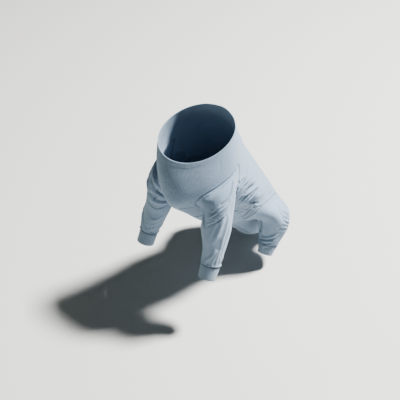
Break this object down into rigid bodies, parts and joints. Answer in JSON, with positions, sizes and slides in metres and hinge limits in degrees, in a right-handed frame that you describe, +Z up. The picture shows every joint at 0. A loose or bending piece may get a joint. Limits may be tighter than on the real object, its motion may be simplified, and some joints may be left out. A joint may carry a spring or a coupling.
{
  "type": "dog jumpsuit",
  "caption": "Close-fitting knitted jumpsuit for a large dog, hollow, in its worn sitting shape, with a wide round neck, sleeves and legs that end in cuffs, and an open rear.",
  "frame": {"origin": "centre of the neck opening", "axes": "+Z up as worn sitting, -Y to the front, +X to the suit's left side"},
  "size_m": [0.2938, 0.498, 0.5514],
  "materials": {
    "jersey": "matt fine knit",
    "cuff_knit": "matt doubled knit"
  },
  "bodies": {
    "root": {"body": "jersey", "belly_panel": "jersey", "sleeve_left": "jersey", "sleeve_right": "jersey", "front_cuff_left": "cuff_knit", "front_cuff_right": "cuff_knit", "leg_left": "jersey", "leg_right": "jersey", "hind_cuff_left": "cuff_knit", "hind_cuff_right": "cuff_knit"}
  },
  "joints": []
}
